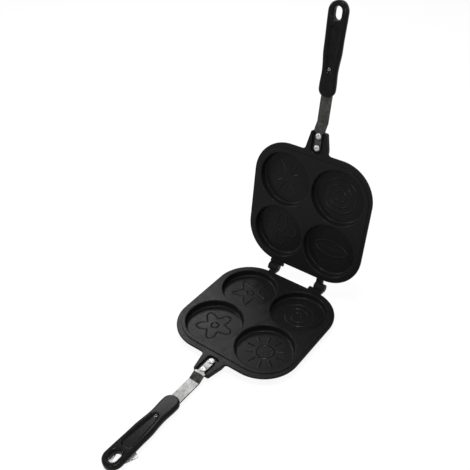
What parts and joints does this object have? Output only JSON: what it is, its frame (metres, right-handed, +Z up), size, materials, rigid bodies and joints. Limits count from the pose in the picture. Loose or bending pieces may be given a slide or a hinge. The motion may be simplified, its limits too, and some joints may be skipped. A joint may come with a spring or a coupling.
{
  "type": "double-sided frying pan",
  "caption": "Double-sided pancake pan standing open: two coated cast plates with round cups, back hinges, steel straps, black grips and a locking clip.",
  "frame": {"origin": "on the table, under the middle of the open pan's box", "axes": "+Z up, +Y from the lower grip towards the hinge, +X to the right"},
  "size_m": [0.18, 0.4468, 0.3916],
  "materials": {
    "coated_casting": "cast aluminium under a matte black non-stick coating",
    "strap_steel": "polished stainless steel strip",
    "clip_steel": "stamped stainless sheet",
    "pin_steel": "turned stainless steel",
    "rivet_aluminium": "bright upset aluminium",
    "phenolic": "glossy black moulded phenolic"
  },
  "bodies": {
    "lower_half": {"lower_plate": "coated_casting", "lower_strap": "strap_steel", "lower_inner_rivet": "rivet_aluminium", "lower_outer_rivet": "rivet_aluminium", "lower_grip": "phenolic", "lower_grip_rivet": "rivet_aluminium", "right_hinge_pin": "pin_steel", "clip_pin": "pin_steel"},
    "upper_half": {"upper_plate": "coated_casting", "upper_strap": "strap_steel", "upper_inner_rivet": "rivet_aluminium", "upper_outer_rivet": "rivet_aluminium", "upper_grip": "phenolic", "upper_grip_rivet": "rivet_aluminium", "left_hinge_pin": "pin_steel"},
    "clip": {"locking_clip": "clip_steel"}
  },
  "joints": [
    {"name": "lid_hinge", "type": "hinge", "parent": "lower_half", "child": "upper_half", "pos_m": [0, 0.1584, 0.01415], "axis": [1, 0, 0], "range_deg": [0, 98.2]},
    {"name": "clip_hinge", "type": "hinge", "parent": "lower_half", "child": "clip", "pos_m": [0, -0.2186, 0.00195], "axis": [-1, 0, 0], "range_deg": [0, 180]}
  ]
}
